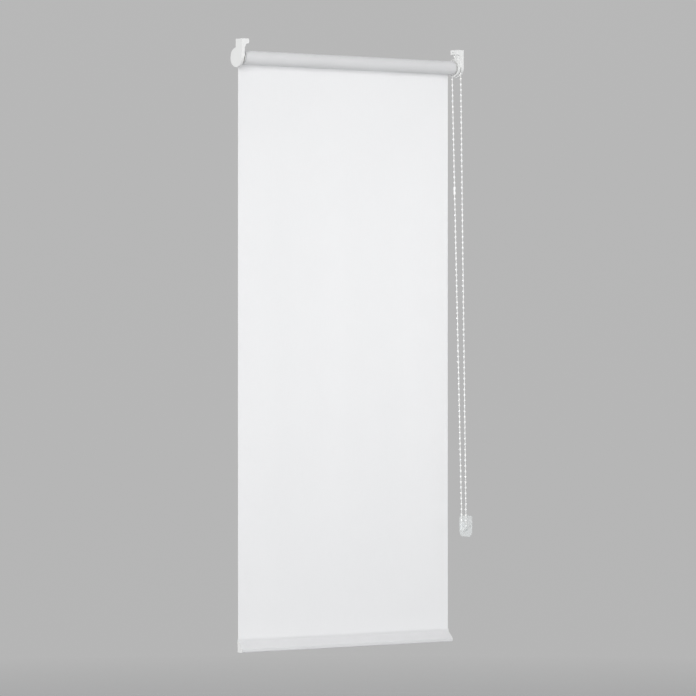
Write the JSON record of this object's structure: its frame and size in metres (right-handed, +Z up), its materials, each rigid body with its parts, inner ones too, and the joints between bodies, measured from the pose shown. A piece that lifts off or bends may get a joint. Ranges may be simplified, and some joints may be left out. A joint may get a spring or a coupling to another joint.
{
  "type": "roller blind",
  "caption": "White fabric roller blind with ceiling brackets, a side chain drive, a weighted hem bar and a wall keeper for the chain loop.",
  "frame": {"origin": "centre of the four ceiling screws of the two brackets, on the ceiling plane, midway between the brackets", "axes": "+X along the roller towards the chain end, -Y towards the room, +Z up; stored fully lowered"},
  "size_m": [0.602, 0.0695, 1.302],
  "materials": {
    "bracket_plastic": "white moulded plastic, soft gloss",
    "drive_plastic": "white low-friction plastic",
    "clear_plastic": "clear moulded plastic",
    "chain_plastic": "white bead chain",
    "cloth": "white coated polyester",
    "tape": "adhesive tape",
    "tube_metal": "mill-finish extrusion",
    "spring_steel": "spring wire",
    "screw_steel": "zinc plated"
  },
  "bodies": {
    "fixed_parts": {"control_bracket": "bracket_plastic", "idle_bracket": "bracket_plastic", "chain_guard": "bracket_plastic", "clutch_spindle": "drive_plastic", "spindle_screw": "screw_steel", "control_chain": "chain_plastic", "chain_connector": "chain_plastic", "chain_clip": "clear_plastic"},
    "roller": {"roller_tube": "tube_metal", "fabric_roll": "cloth", "fabric_tape": "tape", "drive_hub": "drive_plastic", "chain_wheel": "drive_plastic", "clutch_springs": "spring_steel", "idle_plug": "drive_plastic"},
    "sprung_pin": {"idle_pin": "drive_plastic", "idle_spring": "spring_steel"},
    "bottom_rail": {"bottom_bar": "tube_metal", "fabric_hem": "cloth", "fabric_sheet": "cloth", "bar_end_cap_left": "bracket_plastic", "bar_end_cap_right": "bracket_plastic"}
  },
  "joints": [
    {"name": "roller_turn", "type": "hinge", "parent": "fixed_parts", "child": "roller", "pos_m": [0, 0.0095, -0.039], "axis": [1, 0, 0], "range_deg": [0, 4590]},
    {"name": "rail_lift", "type": "slide", "parent": "fixed_parts", "child": "bottom_rail", "axis": [0, 0, 1], "range_m": [0, 1.2018], "deforming": ["fabric_sheet"]},
    {"name": "pin_push", "type": "slide", "parent": "roller", "child": "sprung_pin", "axis": [1, 0, 0], "range_m": [0, 0.008], "stiffness_N_per_m": 300, "springref_m": -0.008, "deforming": ["idle_spring"]}
  ],
  "couplings": [
    {"joint": "rail_lift", "follows": "roller_turn", "m_per_rad": 0.015}
  ]
}
